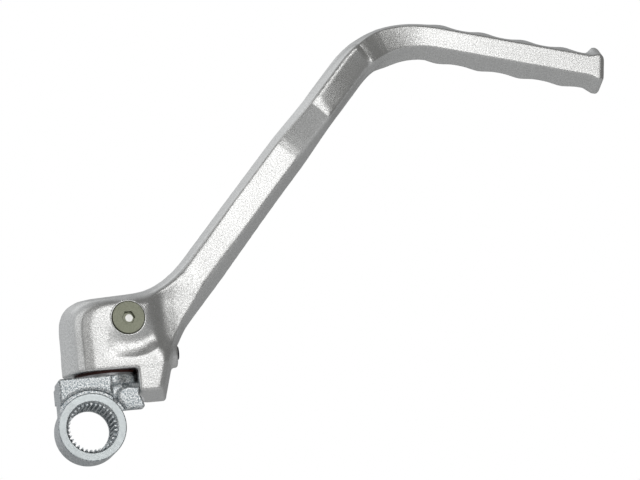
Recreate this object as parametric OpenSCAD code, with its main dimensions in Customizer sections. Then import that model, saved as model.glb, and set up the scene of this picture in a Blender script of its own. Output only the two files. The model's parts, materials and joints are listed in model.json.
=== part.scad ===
// Kick start lever: a forged arm that folds on a splined knuckle.
// The origin is the middle of the spline; the spline axis is Y and the fold axis is parallel to Z.
// The engine side faces -Y, and the arm folds outboard, towards +Y.

/* [Spline hub] */
// Number of teeth in the spline
spline_teeth = 33; // [24:1:40]
// Diameter across the tips of the teeth
spline_tip_d = 17.4; // [16.6:0.1:18]
// Diameter across the roots of the teeth
spline_root_d = 20; // [19:0.1:21]
// Outer diameter of the hub
hub_d = 26.8; // [25:0.1:28]
// Length of the hub along the shaft
hub_len = 18.5; // [16:0.5:21]
// Bore of the plain lip behind the spline
lip_d = 16.6; // [15:0.1:17]
// Length of the plain lip
lip_len = 2.2; // [1.5:0.1:4]
// Chamfer at the mouth of the spline
mouth_chamfer = 0.9; // [0.3:0.1:1.2]
// How far the hub's machined ring stands above the raw casting
ring_proud = 0.95; // [0.5:0.05:1.5]
// Width of the spot-faced groove around the ring
groove_w = 1.6; // [1:0.1:2]
// Depth of the spot-faced groove below the casting
groove_depth = 0.6; // [0.3:0.1:1]

/* [Knuckle casting] */
// Left side of the block, from the spline axis
block_left = 11.6; // [9:0.1:12]
// Height of the block's top and the disc's top above the spline axis
disc_top = 20; // [19:0.5:22]
// Diameter of the disc flange under the housing
disc_d = 27; // [25:0.5:27]
// Thickness of the disc flange
disc_h = 3.8; // [3:0.1:5]
// Diameter of the neck under the disc
neck_d = 22; // [18:0.5:23]
// Bevel on the block's outer top edge
block_bevel = 0.6; // [0.4:0.1:3]
// Width of the step that stops the arm when it is folded out
stop_w = 4; // [3:0.5:6]
// How far the step reaches outboard of the pivot axis
stop_reach = 7.9; // [7:0.1:8.2]
// Thickness of the stop tab
tab_t = 4.6; // [3.5:0.1:6]
// Bottom of the stop tab above the spline axis
tab_bottom = 5.8; // [4.5:0.1:7]
// Right end of the tab's foot
tab_right = 21.5; // [21:0.1:23]

/* [Pivot] */
// Pivot axis to the right of the spline axis
pivot_x = 9; // [8:0.25:10]
// Pivot axis outboard of the middle of the hub
pivot_y = 5.5; // [4.5:0.25:6.5]
// Diameter of the pivot post
post_d = 20; // [19:0.1:21]
// Height of the post above the disc
post_h = 28.3; // [28:0.1:29]
// Clearance of the post in its bore, on the radius
post_clearance = 0.04; // [0.02:0.01:0.08]
// Space above the post's end in the blind bore
post_end_gap = 0.7; // [0.4:0.1:1]
// How far the arm folds out
fold_deg = 100; // [80:1:100]

/* [Pivot seal] */
// Thickness of the thrust washer
washer_t = 0.9; // [0.6:0.1:1]
// Outer diameter of the thrust washer
washer_d = 26; // [24:0.5:27]
// Clearance of the washer around the post, on the radius
washer_clearance = 0.15; // [0.1:0.05:0.3]
// Outer diameter of the dust seal
seal_d = 25; // [24:0.5:26]
// Height of the dust seal
seal_h = 1.8; // [1.4:0.1:2.2]
// Clearance of the seal around the post, on the radius
seal_clearance = 0.1; // [0.05:0.05:0.3]
// Bottom of the housing above the disc
housing_gap = 1.9; // [1.2:0.1:2]

/* [Retaining screw] */
// Diameter of the screw's shank
screw_d = 6; // [5:0.5:6]
// Diameter of the countersunk head
screw_head_d = 13.4; // [11.5:0.1:13.8]
// Length of the screw with its head
screw_len = 25; // [22:0.5:26]
// Width of the hex socket across its flats
screw_hex = 4.5; // [3:0.5:5]
// Depth of the hex socket
screw_hex_depth = 2.4; // [1.5:0.1:3]
// Height of the screw above the spline axis
screw_z = 42; // [41.5:0.1:42.5]
// Screw axis to the right of the pivot axis
screw_offset = 9.3; // [9:0.1:10.6]
// Clearance of the screw in its hole, on the radius
screw_clearance = 0.05; // [0.03:0.01:0.1]
// Clearance of the screw in the post's groove
keeper_clearance = 0.15; // [0.1:0.05:0.3]

/* [Detent] */
// Diameter of the detent ball
ball_d = 6; // [5:0.25:6.5]
// Height of the detent above the spline axis
detent_z = 28.2; // [27.5:0.1:29]
// Travel of the ball into its notches
notch_depth = 0.8; // [0.5:0.1:1]
// Clearance of the ball and plug in their bore, on the radius
detent_clearance = 0.05; // [0.03:0.01:0.08]
// Wire diameter of the detent spring
spring_wire = 0.8; // [0.6:0.05:0.9]
// Turns of the detent spring
spring_turns = 5; // [4:1:7]
// Length of the grub screw that holds the spring
plug_len = 6.4; // [5:0.1:7]
// How far the grub screw stands out of its boss
plug_proud = 0.8; // [0:0.1:1]
// Diameter of the boss around the detent bore
boss_d = 11.8; // [10.5:0.1:12.5]
// Face of the boss, from the pivot axis
boss_reach = 28.9; // [28.5:0.1:31]

/* [Housing] */
// Half width of the housing to the left of the pivot axis
housing_left = 17.6; // [16.5:0.1:19]
// Half depth of the housing and its skirt
housing_half = 15; // [14.5:0.1:16]
// Height of the housing's top above the spline axis
housing_top = 52.8; // [52.5:0.1:55]
// Left edge of the skirt that works as the stop, from the pivot axis
skirt_left = 10.95; // [10.8:0.05:11.2]
// Right side of the skirt at its parting line, from the pivot axis
skirt_right = 25.9; // [25:0.1:26.5]
// Bottom of the skirt at its front face
skirt_bottom = 12.4; // [11.8:0.1:13.5]
// Draft of the skirt's right side, on its width
skirt_side_draft = 3.6; // [2:0.1:4.5]
// Taper of the skirt's right side towards its bottom
skirt_taper = 3.2; // [0:0.1:4]
// Drop of the skirt's bottom towards the parting line
skirt_draft = 3; // [2:0.1:3]
// Edge radius of the skirt
skirt_r = 2.6; // [1.5:0.1:3]
// Draft of the housing's left side, on its width
barrel_draft = 5.6; // [4:0.1:7]
// Draft of the housing's right side beside the screw, on its width
valley_draft = 4; // [3:0.1:6]
// Radius of the housing's front and back edges
barrel_r = 9; // [7:0.5:10]
// Clearance of the skirt around the disc flange
skirt_clearance = 0.7; // [0.4:0.05:1]

/* [Shank] */
// Centre of the shank's root, right of the spline axis
root_x = 42.3; // [41:0.1:44]
// Centre of the shank's root, above the spline axis
root_z = 51.2; // [50:0.1:52.5]
// Angle of the shank above the horizontal
shank_angle = 48.1; // [45:0.1:52]
// Length of the shank from its root to the corner with the tread
shank_len = 139.9; // [125:0.1:150]
// Width of the arm at its parting line
arm_w = 16.8; // [15:0.1:18]
// How much wider the shank's lower side is at its root
root_flare = 1.4; // [0:0.1:2]
// Width of the arm's flat faces
face_w = 10.8; // [8:0.1:12]
// How far the shank's flat faces lie towards its upper side
face_shift = 0.5; // [-1:0.1:1]
// Depth of the arm from face to face
arm_t = 18; // [16:0.5:20]
// Edge radius of the arm's faces
edge_r = 0.6; // [0.4:0.1:1.6]

/* [Dogleg] */
// Start of the inboard ramp along the shank
ramp_start = 72; // [66:0.5:78]
// Length of the inboard ramp
ramp_len = 21; // [17:0.5:24]
// How far the crest stands inboard of the shank
crest_rise = 6; // [4:0.1:8]
// Length of the flat on top of the crest
crest_flat = 3; // [1:0.1:5]
// Length of the slope behind the crest
plateau_len = 32.4; // [26:0.1:34]
// How far the slope drops from the crest
plateau_drop = 4.5; // [3:0.1:6]
// Length of the steep drop to the tread
drop_len = 9.5; // [8:0.5:12]
// How far the tread lies outboard of the shank
tread_drop_y = 4; // [2:0.1:6]
// Width of the arm at the dogleg's parting line
dogleg_w = 15.2; // [13.5:0.1:16]
// Width of the raised face of the dogleg
dogleg_face_w = 10; // [9:0.1:12]
// How far the raised face lies towards the lower side
dogleg_face_shift = 0.3; // [-1:0.1:1]

/* [Tread] */
// Angle of the tread below the horizontal
tread_angle = 14; // [8:0.1:20]
// Length of the tread from the corner to its end
tread_len = 96.9; // [95:0.1:110]
// Radius of the bend between the shank and the tread
bend_r = 40.5; // [34:0.5:42]
// Width of the tread at its parting line, between the grips
tread_w = 15.3; // [14:0.1:17]
// Width of the tread's flat faces
tread_face_w = 8.8; // [7.5:0.1:10]
// Number of grip bumps on each side
grip_count = 4; // [3:1:4]
// Spacing of the grip bumps
grip_pitch = 17.8; // [15:0.1:19]
// Height of the grip bumps
grip_h = 0.9; // [0.4:0.1:1.5]
// First grip bump from the corner
grip_first = 27.1; // [26:0.1:30]
// Height of the end lip on its upper side
lip_up = 3.2; // [1.5:0.1:4]
// Height of the end lip on its lower side
lip_down = 1.7; // [0.5:0.1:2.5]
// Length of the end lip
lip_run = 6.6; // [5:0.1:10]
// How much the flat faces widen at the end lip
lip_face = 1; // [0:0.1:1.5]
// Rounding of the tread's end
end_r = 2.2; // [1:0.1:3]
// Lean of the end face away from square
end_lean = 5.5; // [0:0.5:10]

/* [Hidden] */
$fn = 72;

hub_front = -hub_len / 2;
cast_front = hub_front + ring_proud;
post_r = post_d / 2;
post_top = disc_top + post_h;
neck_low = hub_d / 2 - 2.4;
skirt_z = disc_top + housing_gap;
front_y = pivot_y - housing_half;
bore_r = post_r + post_clearance;
bore_top = post_top + post_end_gap;
screw_x = pivot_x + screw_offset;
keeper_r = screw_offset - screw_d / 2 - keeper_clearance;
ball_x = pivot_x + post_r + ball_d / 2 + 0.03;
detent_bore_r = ball_d / 2 + detent_clearance;
boss_x = pivot_x + boss_reach;
plug_end = boss_x + plug_proud;
plug_start = plug_end - plug_len;
spring_mean_r = ball_d / 2 - 0.35 - spring_wire / 2;
spring_reach = sqrt(pow((ball_d + spring_wire) / 2 + 0.03, 2) - pow(spring_mean_r, 2));
spring_start = ball_x + spring_reach;
spring_end = plug_start - spring_wire / 2 - 0.02;
skirt_inner_r = disc_d / 2 + skirt_clearance;

// Share of the way from one place to another
function share(a, b, s) = min(1, max(0, (s - a) / (b - a)));
// Smooth step from 0 to 1 between two places along a line
function step(a, b, s) =
    let (t = share(a, b, s))
    t * t * (3 - 2 * t);
function mix(a, b, t) = a + (b - a) * t;
function along(angle) = [cos(angle), sin(angle)];
// A point on a curve with one control point
function curve(a, c, b, t) = pow(1 - t, 2) * a + 2 * t * (1 - t) * c + t * t * b;

// Points of a rounded corner between two directions
function corner(prev, p, next, r, n) =
    let (u = (prev - p) / norm(prev - p))
    let (v = (next - p) / norm(next - p))
    let (half = acos(max(-1, min(1, u * v))) / 2)
    let (reach = min(r / tan(half), 0.48 * norm(prev - p), 0.48 * norm(next - p)))
    let (a = p + u * reach)
    let (b = p + v * reach)
    [for (i = [0 : n]) curve(a, p, b, i / n)];

// One cross-section: three points on each side, its corners rounded
// w is the half width, l and r are the drafts of its two sides and h is its half depth
// radii holds the edge radius of the left faces, the right faces and the parting line
function section(w, l, r, h, radii) =
    let (p = [[-w, 0], [-w + l, -h], [w - r, -h], [w, 0], [w - r, h], [-w + l, h]])
    let (round_r = [radii[2], radii[0], radii[1], radii[2], radii[1], radii[0]])
    [for (i = [0 : 5]) each corner(p[(i + 5) % 6], p[i], p[(i + 1) % 6], round_r[i], 3)];

// A cross-section laid between a left and a right point of the outline
function ring(left, right, y, l, r, h, radii) =
    let (mid = (left + right) / 2)
    let (w = norm(right - left) / 2)
    let (u = (right - left) / (2 * w))
    [for (p = section(w, l, r, h, radii))
        [mid[0] + u[0] * p[0], y + p[1], mid[1] + u[1] * p[0]]];

// A closed skin over a list of rings
module loft(rings) {
    n = len(rings[0]);
    m = len(rings);
    points = [for (ring = rings) each ring];
    first = [for (j = [0 : n - 1]) j];
    last = [for (j = [n - 1 : -1 : 0]) (m - 1) * n + j];
    sides = [for (i = [0 : m - 2]) for (j = [0 : n - 1])
        let (k = (j + 1) % n)
        each [[i * n + j, (i + 1) * n + j, (i + 1) * n + k],
            [i * n + j, (i + 1) * n + k, i * n + k]]];
    polyhedron(points = points, faces = concat([first], sides, [last]), convexity = 6);
}

// The arm's centreline: a straight shank, a bend and a straight tread
root = [root_x, root_z];
shank_dir = along(shank_angle);
tread_dir = along(-tread_angle);
turn = shank_angle + tread_angle;
tangent = bend_r * tan(turn / 2);
bend_start = shank_len - tangent;
bend_len = bend_r * turn * PI / 180;
bend_centre = root + shank_dir * bend_start + bend_r * [shank_dir[1], -shank_dir[0]];
tread_start = bend_start + bend_len;
tread_run = tread_len - tangent;
path_end = tread_start + tread_run;
corner_s = tread_start - tangent;

function path_angle(s) =
    s < bend_start ? shank_angle
    : s < tread_start ? shank_angle - (s - bend_start) / bend_r * 180 / PI
    : -tread_angle;
function path_point(s) =
    s < bend_start ? root + shank_dir * s
    : s < tread_start ? bend_centre + bend_r * along(path_angle(s) + 90)
    : root + shank_dir * shank_len + tread_dir * (s - corner_s);

// Inboard and outboard offset of the arm along its path
crest_s = ramp_start + ramp_len;
slope_end = crest_s + plateau_len;
drop_end = slope_end + drop_len;
function dogleg(s) =
    -crest_rise * pow(share(ramp_start, crest_s, s), 1.4)
    + plateau_drop * share(crest_s + crest_flat, slope_end, s)
    + (tread_drop_y + crest_rise - plateau_drop) * (1 - pow(1 - share(slope_end, drop_end, s), 1.5));
function in_dogleg(s) = step(ramp_start, crest_s, s) * (1 - step(slope_end, drop_end + 4, s));
function in_tread(s) = step(slope_end, tread_start, s);

// Grip bumps and the end lip widen the parting line only
function bump(s) =
    let (t = (s - corner_s - grip_first) / grip_pitch)
    let (inside = t > -0.5 && t < grip_count - 0.5)
    inside ? grip_h * pow((1 + cos(360 * t)) / 2, 1.6) : 0;
function lip(s) = step(path_end - lip_run, path_end - lip_run / 2.2, s);
function flare(s) = root_flare * (1 - share(0, 50, s));
function half_width(s) =
    mix(mix(arm_w, dogleg_w, in_dogleg(s)), tread_w, in_tread(s)) / 2;
function half_face(s) =
    mix(mix(face_w, dogleg_face_w, in_dogleg(s)), tread_face_w, in_tread(s)) / 2;

function lean_up(s) = mix(mix(face_shift, -dogleg_face_shift, in_dogleg(s)), 0, in_tread(s));

// One ring of the arm; tuck draws it in towards its middle at the rounded end
function arm_ring(s, tuck = 0) =
    let (p = path_point(s))
    let (a = path_angle(s))
    let (side = [-sin(a), cos(a)])
    let (lean = tan(end_lean) * step(path_end - 30, path_end, s))
    let (up = half_width(s) + bump(s) + lip_up * lip(s) - tuck)
    let (down = half_width(s) + flare(s) + bump(s) + lip_down * lip(s) - tuck)
    let (face = half_face(s) + lip_face * lip(s) - tuck)
    let (skew = lean * along(a))
    ring(p + (side - skew) * up, p - (side - skew) * down, pivot_y + dogleg(s),
        up - face - lean_up(s), down - face + lean_up(s), arm_t / 2 - tuck, [edge_r, edge_r, edge_r]);

// Outline of the housing: on the left over its crown, on the right up the skirt to the shank
skirt_low = skirt_bottom - skirt_draft;
crown_left = pivot_x - housing_left;
crown_low = [crown_left, housing_top - 13];
crown_corner = [crown_left, housing_top - 0.6];
crown_high = [crown_left + 13.2, housing_top];
crown_end = [pivot_x + 13, housing_top + 0.9];
neck_s = 16;
shank_side = [shank_dir[1], -shank_dir[0]];
neck_left = root + shank_dir * neck_s - arm_w / 2 * shank_side;
neck_right = root + shank_dir * neck_s + (arm_w / 2 + flare(neck_s)) * shank_side;
neck_corner = crown_end + [12.8, 0.3];
flank_low = [pivot_x + skirt_right, skirt_z - 1.5];
flank_corner = [pivot_x + skirt_right + 2.6, skirt_z + 8.2];
flank_high = neck_right - shank_dir * 25;

function crown(t) =
    t < 0.15 ? mix([crown_left, skirt_low], [crown_left, skirt_z + 1.5], t / 0.15)
    : t < 0.35 ? mix([crown_left, skirt_z + 1.5], crown_low, (t - 0.15) / 0.2)
    : t < 0.62 ? curve(crown_low, crown_corner, crown_high, (t - 0.35) / 0.27)
    : t < 0.77 ? mix(crown_high, crown_end, (t - 0.62) / 0.15)
    : curve(crown_end, neck_corner, neck_left, (t - 0.77) / 0.23);
// The right side moves slowly while the left side passes over the crown
function flank(t) =
    let (u = lookup(t, [[0, 0], [0.15, 0.25], [0.25, 0.45], [0.35, 0.52], [0.62, 0.6], [0.77, 0.68], [1, 1]]))
    u < 0.25 ? mix([flank_low[0] - skirt_taper, skirt_low], flank_low, u / 0.25)
    : u < 0.7 ? curve(flank_low, flank_corner, flank_high, (u - 0.25) / 0.45)
    : mix(flank_high, neck_right, (u - 0.7) / 0.3);
function housing_ring(t) =
    let (valley = step(0.18, 0.27, t))
    let (thin = step(0.66, 0.97, t))
    let (left_draft = (arm_w - face_w) / 2 - face_shift)
    let (right_draft = (arm_w - face_w) / 2 + flare(neck_s) + face_shift)
    ring(crown(t), flank(t), pivot_y,
        mix(barrel_draft, left_draft, thin),
        mix(mix(skirt_side_draft, valley_draft, valley), right_draft, thin),
        mix(housing_half, arm_t / 2, thin),
        [mix(barrel_r, edge_r, thin), mix(mix(skirt_r, barrel_r, valley), edge_r, thin),
            mix(mix(skirt_r, 6, valley), edge_r, thin)]);

housing_steps = [0, 0.08, 0.15, 0.18, 0.2, 0.22, 0.24, 0.26, 0.3, 0.35, 0.4, 0.45, 0.5, 0.56,
    0.62, 0.67, 0.72, 0.77, 0.81, 0.85, 0.89, 0.93, 0.965, 1];
shank_steps = [for (i = [1 : 4]) mix(neck_s, ramp_start, i / 4)];
dogleg_steps = concat([for (i = [1 : 6]) mix(ramp_start, crest_s, i / 6)],
    [for (i = [0 : 8]) mix(crest_s + crest_flat, slope_end, i / 8)],
    [for (i = [1 : 4]) mix(slope_end, drop_end, i / 4)],
    [for (i = [1 : 8]) mix(drop_end, tread_start, i / 8)]);
tread_steps = concat([for (i = [1 : 36]) mix(tread_start, path_end - lip_run, i / 36)],
    [for (i = [1 : 6]) mix(path_end - lip_run, path_end - end_r, i / 6)]);
end_steps = [for (i = [1 : 4]) i * 22.5];

module arm_body() {
    loft(concat(
        [for (t = housing_steps) housing_ring(t)],
        [for (s = concat(shank_steps, dogleg_steps, tread_steps)) arm_ring(s)],
        [for (a = end_steps) arm_ring(path_end - end_r + end_r * sin(a), end_r * (1 - cos(a)) + 0.01)]
    ));
}

// Air under the skirt's drafted bottom, on both sides of the parting line
module skirt_wedges() {
    translate([pivot_x, pivot_y, skirt_low]) rotate([90, 0, 90]) translate([0, 0, skirt_left - 1])
        linear_extrude(skirt_right + 6)
            for (side = [-1, 1]) polygon([[0, 0], [side * (housing_half + 1), -1],
                [side * (housing_half + 1), skirt_draft * (1 + 1 / housing_half)]]);
}

module along_x(x, y, z) {
    translate([x, y, z]) rotate([0, 90, 0]) children();
}
module along_y(x, y, z) {
    translate([x, y, z]) rotate([-90, 0, 0]) children();
}

module kick_arm() {
    color([0.78, 0.78, 0.77])
    difference() {
        union() {
            arm_body();
            along_x(pivot_x + post_r + 3, pivot_y, detent_z)
                cylinder(d = boss_d, h = boss_x - pivot_x - post_r - 3);
        }
        // Blind bore for the post and the seat of the dust seal
        translate([pivot_x, pivot_y, skirt_z - 1]) cylinder(r = bore_r, h = bore_top - skirt_z + 1);
        translate([pivot_x, pivot_y, skirt_z - 1])
            cylinder(d = seal_d + 0.1, h = 1 + washer_t + seal_h - housing_gap + 0.05);
        // Room for the disc flange inside the skirt, and the cut-out on its left
        translate([pivot_x, pivot_y, skirt_low - 1]) cylinder(r = skirt_inner_r, h = skirt_z - skirt_low + 1);
        translate([pivot_x + skirt_left - 30, pivot_y - 30, skirt_low - 1]) cube([30, 60, skirt_z - skirt_low + 1]);
        skirt_wedges();
        // Countersunk hole of the retaining screw
        along_y(screw_x, front_y - 3, screw_z) cylinder(r = screw_head_d / 2 + 0.25, h = 3.15);
        along_y(screw_x, front_y + 0.15, screw_z)
            cylinder(r1 = screw_head_d / 2 + 0.05, r2 = screw_d / 2 + 0.05, h = (screw_head_d - screw_d) / 2);
        along_y(screw_x, front_y, screw_z) cylinder(r = screw_d / 2 + screw_clearance, h = screw_len + 1.5);
        // Bore of the detent
        along_x(pivot_x + post_r - 2, pivot_y, detent_z) cylinder(r = detent_bore_r, h = boss_reach + 4);
    }
}

// Outline of the tapered spline teeth around the bore
module spline_profile() {
    pitch = 360 / spline_teeth;
    root_r = spline_root_d / 2;
    tip_r = spline_tip_d / 2;
    polygon([for (i = [0 : spline_teeth - 1]) for (c = [[0.14, tip_r], [0.36, root_r], [0.64, root_r], [0.86, tip_r]])
        c[1] * along((i + c[0]) * pitch)]);
}

module hub_bore() {
    along_y(0, hub_front - 1, 0)
        linear_extrude(hub_len - lip_len + 1) spline_profile();
    along_y(0, hub_front - 1, 0) cylinder(d = lip_d, h = hub_len + 2);
    along_y(0, hub_front - 0.01, 0)
        cylinder(r1 = spline_root_d / 2 + mouth_chamfer / 2, r2 = spline_root_d / 2 - mouth_chamfer, h = 1.5 * mouth_chamfer);
}

// Block beside the hub, seen from the front
module block_outline() {
    polygon([[-block_left, 0], [-block_left, disc_top - block_bevel], [-block_left + block_bevel, disc_top],
        [pivot_x, disc_top], [pivot_x, 0]]);
}

// The stop tab, seen from the front
module tab_outline() {
    face = pivot_x + skirt_left - 0.15;
    polygon([[11.2, tab_bottom], [11.2, 12.2], [12, 13.5], [13.4, 14.5], [15.6, 14.9], [face, 14.3],
        [face, skirt_bottom - 1.6], [face + 0.5, skirt_bottom - 1.8], [tab_right, tab_bottom + 1],
        [tab_right - 0.8, tab_bottom]]);
}

module knuckle() {
    stop_y = pivot_y + stop_reach;
    notch_x = post_r + ball_d / 2 + 0.03 - notch_depth;
    color([0.76, 0.8, 0.82])
    difference() {
        union() {
            along_y(0, hub_front, 0) cylinder(d = hub_d, h = hub_len);
            // Raw block, with the step behind it that stops the folded arm
            along_y(0, cast_front, 0) mirror([0, 1, 0]) linear_extrude(hub_len - 2 * ring_proud) block_outline();
            translate([-block_left, pivot_y, disc_top - 8])
                cube([stop_w + 4, stop_y - pivot_y, 6.2]);
            // Disc flange on its neck
            translate([pivot_x, pivot_y, disc_top - disc_h]) cylinder(d = disc_d, h = disc_h);
            translate([pivot_x, pivot_y, disc_top - disc_h - 2.4])
                cylinder(d1 = neck_d, d2 = disc_d - 2, h = 2.4);
            translate([pivot_x, pivot_y, neck_low]) cylinder(d1 = neck_d - 5, d2 = neck_d, h = 2.6);
            translate([pivot_x, pivot_y, neck_low + 2.5]) cylinder(d = neck_d, h = disc_top - disc_h - neck_low - 2.5);
            // Stop tab
            along_y(0, cast_front, 0) mirror([0, 1, 0]) linear_extrude(tab_t) tab_outline();
            // Post with the groove of the retaining screw
            translate([pivot_x, pivot_y, disc_top - 1]) cylinder(d = post_d, h = post_h + 0.2);
            translate([pivot_x, pivot_y, post_top - 0.8]) cylinder(r1 = post_r, r2 = post_r - 0.8, h = 0.8);
        }
        hub_bore();
        // Spot-faced groove around the ring
        along_y(0, hub_front - 0.5, 0) difference() {
            cylinder(d = hub_d + 2 * groove_w, h = ring_proud + groove_depth + 0.5);
            translate([0, 0, -1]) cylinder(d = hub_d, h = ring_proud + groove_depth + 2);
        }
        // Groove of the retaining screw
        translate([pivot_x, pivot_y, screw_z - screw_d / 2 - keeper_clearance]) difference() {
            cylinder(r = post_r + 1, h = screw_d + 2 * keeper_clearance);
            translate([0, 0, -1]) cylinder(r = keeper_r, h = screw_d + 2);
        }
        // Notches of the detent at both ends of the travel
        for (a = [0, fold_deg]) {
            translate([pivot_x, pivot_y, detent_z]) rotate([0, 0, a]) translate([notch_x, 0, 0])
                sphere(d = ball_d + 0.16);
        }
    }
}

module thrust_washer() {
    color([0.42, 0.42, 0.43])
    translate([pivot_x, pivot_y, disc_top]) difference() {
        cylinder(d = washer_d, h = washer_t);
        translate([0, 0, -1]) cylinder(r = post_r + washer_clearance, h = washer_t + 2);
    }
}

module pivot_seal() {
    color([0.36, 0.13, 0.1])
    translate([pivot_x, pivot_y, disc_top + washer_t + 0.02]) difference() {
        cylinder(d = seal_d, h = seal_h);
        translate([0, 0, -1]) cylinder(r = post_r + seal_clearance, h = seal_h + 2);
    }
}

module retaining_screw() {
    cone_h = (screw_head_d - screw_d) / 2;
    color([0.5, 0.5, 0.42])
    along_y(screw_x, front_y + 0.15, screw_z) difference() {
        union() {
            cylinder(d1 = screw_head_d, d2 = screw_d, h = cone_h);
            cylinder(d = screw_d, h = screw_len - 0.8);
            translate([0, 0, screw_len - 0.8]) cylinder(d1 = screw_d, d2 = screw_d - 1.6, h = 0.8);
        }
        translate([0, 0, -1]) cylinder(d = screw_hex / cos(30), h = screw_hex_depth + 1, $fn = 6);
    }
}

module detent_ball() {
    color([0.7, 0.71, 0.73])
    translate([ball_x, pivot_y, detent_z]) sphere(d = ball_d);
}

// A coil of round wire along X, its ends on the ball and the grub screw
module detent_spring() {
    steps = spring_turns * 16;
    run = spring_end - spring_start;
    slope = atan2(run, 2 * PI * spring_mean_r * spring_turns);
    rings = [for (i = [0 : steps])
        let (a = i * 360 / 16)
        let (out = [0, cos(a), sin(a)])
        let (up = [cos(slope), sin(slope) * sin(a), -sin(slope) * cos(a)])
        [for (k = [0 : 7])
            let (b = k * 45)
            [spring_start + run * i / steps, pivot_y, detent_z] + spring_mean_r * out
                + spring_wire / 2 * (cos(b) * out + sin(b) * up)]];
    color([0.6, 0.61, 0.63]) loft(rings);
}

module detent_plug() {
    color([0.16, 0.16, 0.17])
    difference() {
        union() {
            along_x(plug_start, pivot_y, detent_z) cylinder(d = ball_d, h = plug_len - 0.5);
            along_x(plug_end - 0.5, pivot_y, detent_z) cylinder(d1 = ball_d, d2 = ball_d - 1, h = 0.5);
        }
        along_x(plug_end - 2.6, pivot_y, detent_z) cylinder(d = 3 / cos(30), h = 4, $fn = 6);
    }
}

kick_arm();
knuckle();
thrust_washer();
pivot_seal();
retaining_screw();
detent_ball();
detent_spring();
detent_plug();
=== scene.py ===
# %% [markdown]
# # A kick start lever
# The lever of a kick-started motorbike is two big pieces: a forged aluminium arm, bead blasted to an
# even sparkling grey, and a steel knuckle with a toothed bore that pushes onto the kick shaft. The arm
# folds on the knuckle, so each piece here rides on one of the frame's moving bodies.

# %% Load the frame
import bpy
import bmesh
import json
import math
from mathutils import Matrix, Vector


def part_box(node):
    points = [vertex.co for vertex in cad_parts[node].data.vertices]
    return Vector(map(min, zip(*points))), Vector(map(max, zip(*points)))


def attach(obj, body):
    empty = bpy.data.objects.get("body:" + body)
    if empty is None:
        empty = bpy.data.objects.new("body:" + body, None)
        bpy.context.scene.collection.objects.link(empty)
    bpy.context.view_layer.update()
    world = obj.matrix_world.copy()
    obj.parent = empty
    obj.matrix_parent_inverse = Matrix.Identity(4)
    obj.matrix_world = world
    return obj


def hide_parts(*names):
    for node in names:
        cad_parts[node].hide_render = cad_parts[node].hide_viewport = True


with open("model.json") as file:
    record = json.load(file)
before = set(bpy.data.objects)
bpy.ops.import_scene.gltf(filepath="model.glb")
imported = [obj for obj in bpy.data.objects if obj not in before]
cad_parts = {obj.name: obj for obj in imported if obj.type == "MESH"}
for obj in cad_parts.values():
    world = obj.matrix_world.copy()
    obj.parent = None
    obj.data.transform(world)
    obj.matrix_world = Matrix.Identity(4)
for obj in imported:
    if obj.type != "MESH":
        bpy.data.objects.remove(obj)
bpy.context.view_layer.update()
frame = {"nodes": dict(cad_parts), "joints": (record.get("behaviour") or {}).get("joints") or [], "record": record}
joints = {joint["name"]: joint for joint in frame["joints"]}
mounts = {mount["name"]: mount for mount in frame["record"]["mounts"]}
print("nodes:", sorted(frame["nodes"]))

# %% [markdown]
# ## Measuring the frame
# Every size that the frame already knows is read from it, so the pieces made here land where the solids
# are. What is left, such as the depth of a chamfer, is given in millimetres beside its piece.

# %% Places and radii that several pieces share
MM = 0.001
pivot = Vector(joints["arm_fold"]["pos_m"])
ball = Vector(joints["ball_travel"]["pos_m"])
spline_root_r = mounts["spline_bore"]["dims"]["r_mm"] * MM
end_bore_r = mounts["shaft_end_bore"]["dims"]["r_mm"] * MM
hub_front = mounts["ring_face"]["pos_m"][1]
hub_back = mounts["outboard_face"]["pos_m"][1]
screw_low, screw_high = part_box("retaining_screw")
screw_at = (screw_low + screw_high) / 2
screw_head_r = (screw_high.x - screw_low.x) / 2
disc_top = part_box("thrust_washer")[0].z
seal_low, seal_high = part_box("pivot_seal")
plug_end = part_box("detent_plug")[1].x
print("pivot %.1f, %.1f mm" % (pivot.x / MM, pivot.y / MM), "screw head radius %.2f mm" % (screw_head_r / MM))

# %% [markdown]
# ## The camera
# The photograph was taken with a long lens from about a metre away, a little below and to the left of
# the spline's axis, so the left and lower walls just show. Its focal length is given in pixels of a
# 640 pixel wide frame, because that is how it was worked out: two circles of the hub, its front and its
# back rim, fix how fast things shrink and slide with depth.

# %% Camera at the photograph's angle
FRAME_W = 640
FOCAL_PX = 2720.0
CAMERA_DISTANCE = 1.1
CAMERA_AZIMUTH = math.radians(-11.86)
CAMERA_ELEVATION = math.radians(-9.78)
CAMERA_ROLL = math.radians(-6.5)
camera_target = Vector((0.1002, 0.0, 0.0684))


def view_axes(azimuth, elevation, roll):
    forward = Vector((-math.sin(azimuth) * math.cos(elevation), math.cos(azimuth) * math.cos(elevation),
                      -math.sin(elevation)))
    level_right = Vector((math.cos(azimuth), math.sin(azimuth), 0))
    level_up = level_right.cross(forward)
    right = level_right * math.cos(roll) + level_up * math.sin(roll)
    up = level_up * math.cos(roll) - level_right * math.sin(roll)
    return right, up, forward


right, up, forward = view_axes(CAMERA_AZIMUTH, CAMERA_ELEVATION, CAMERA_ROLL)
camera_data = bpy.data.cameras.new("photo_camera")
camera_data.sensor_width = 36
camera_data.lens = FOCAL_PX / FRAME_W * camera_data.sensor_width
camera = bpy.data.objects.new("photo_camera", camera_data)
turn = Matrix((right, up, -forward)).transposed().to_4x4()
camera.matrix_world = Matrix.Translation(camera_target - forward * CAMERA_DISTANCE) @ turn
bpy.context.scene.collection.objects.link(camera)
bpy.context.scene.camera = camera
print("lens %.0f mm" % camera_data.lens)

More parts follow.
